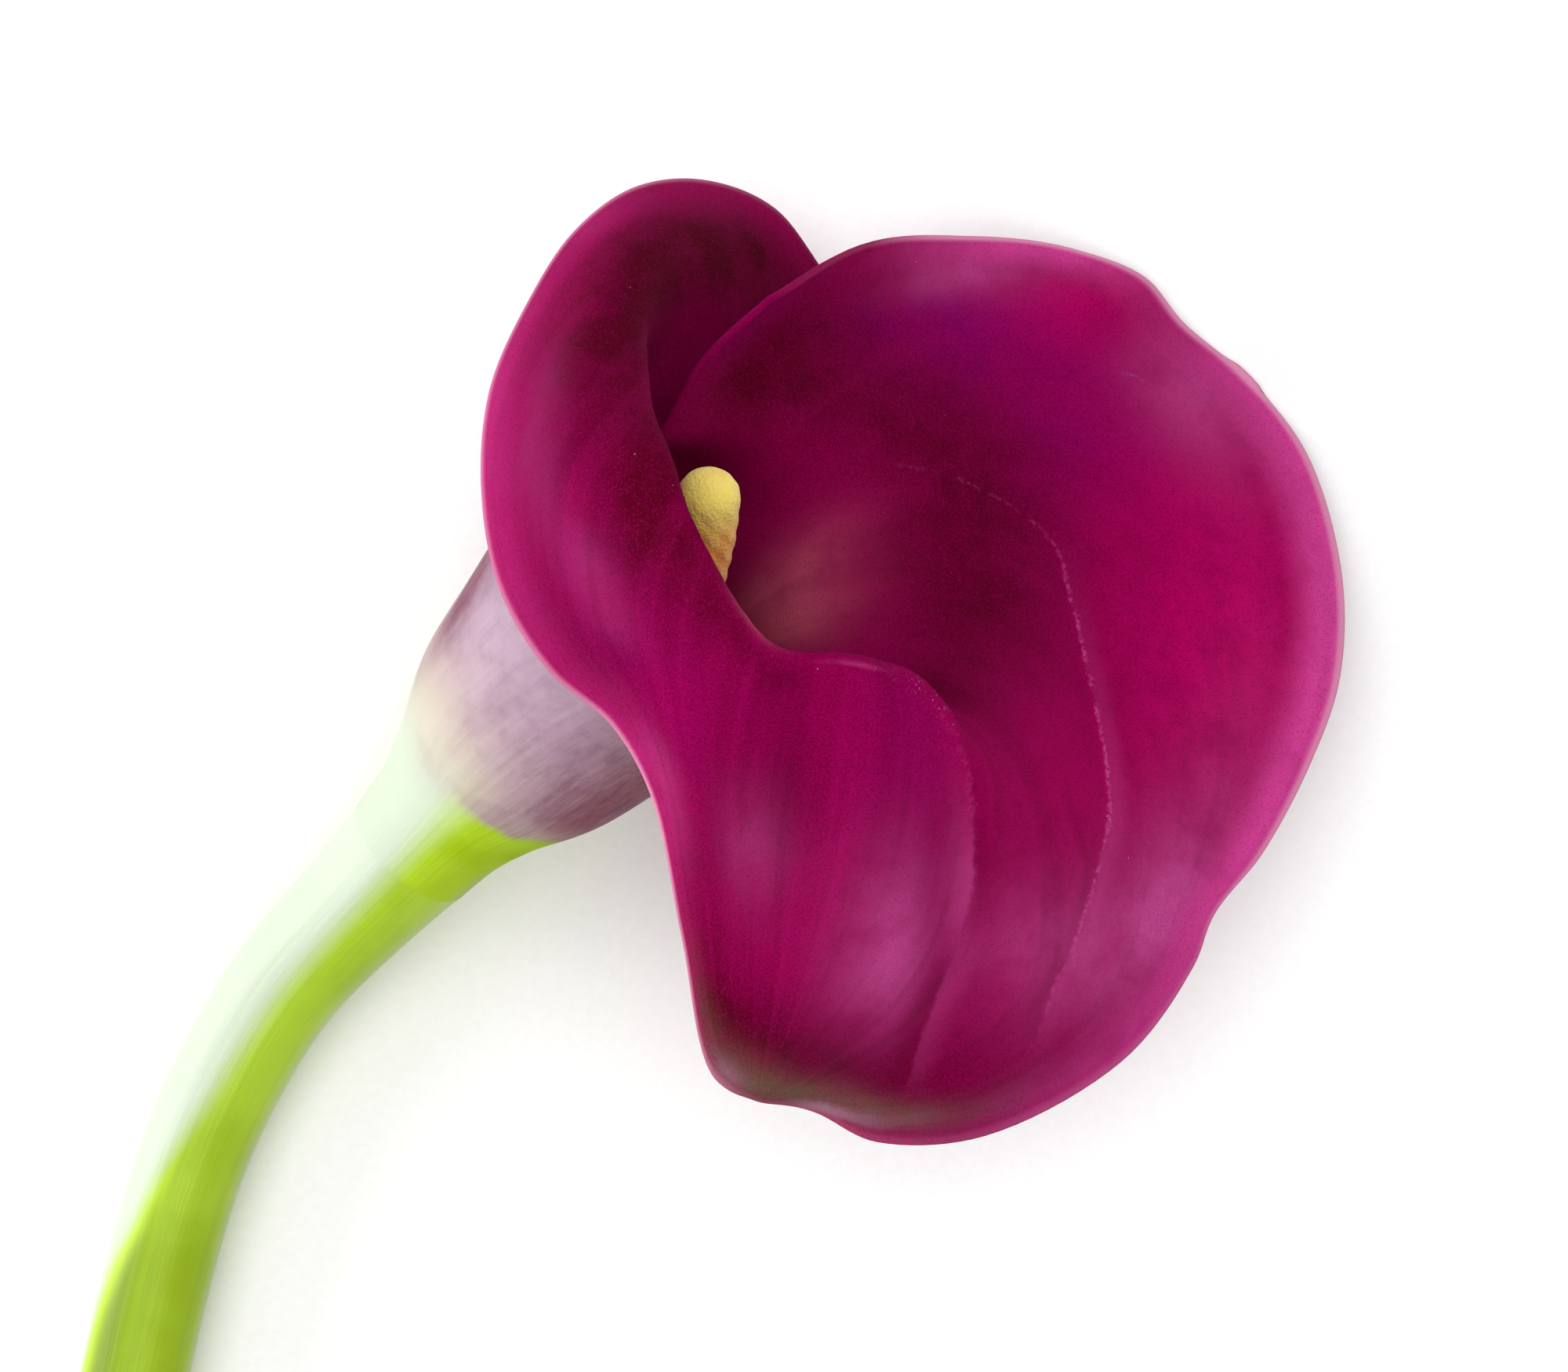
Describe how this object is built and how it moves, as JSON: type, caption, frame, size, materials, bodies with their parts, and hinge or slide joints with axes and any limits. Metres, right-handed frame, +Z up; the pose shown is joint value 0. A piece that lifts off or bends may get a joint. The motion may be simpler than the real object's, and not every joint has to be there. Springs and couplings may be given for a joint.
{
  "type": "arum lily flower",
  "caption": "Cut arum lily bloom lying down: a magenta spathe rolled into a tube and spread into a cup, a yellow spadix in its throat, on a curved green stalk.",
  "frame": {"origin": "middle of the footprint on the table, under the flower as it lies", "axes": "+Z up from the table, +Y from the cut end of the stalk towards the bloom, +X to the bloom's spreading side"},
  "size_m": [0.1326, 0.174, 0.0613],
  "materials": {
    "stem": "smooth, waxy green stalk",
    "spathe": "velvety magenta, mauve and green on the tube",
    "spadix": "dusty yellow florets"
  },
  "bodies": {
    "root": {"stem": "stem", "spathe": "spathe", "spadix": "spadix"}
  },
  "joints": []
}
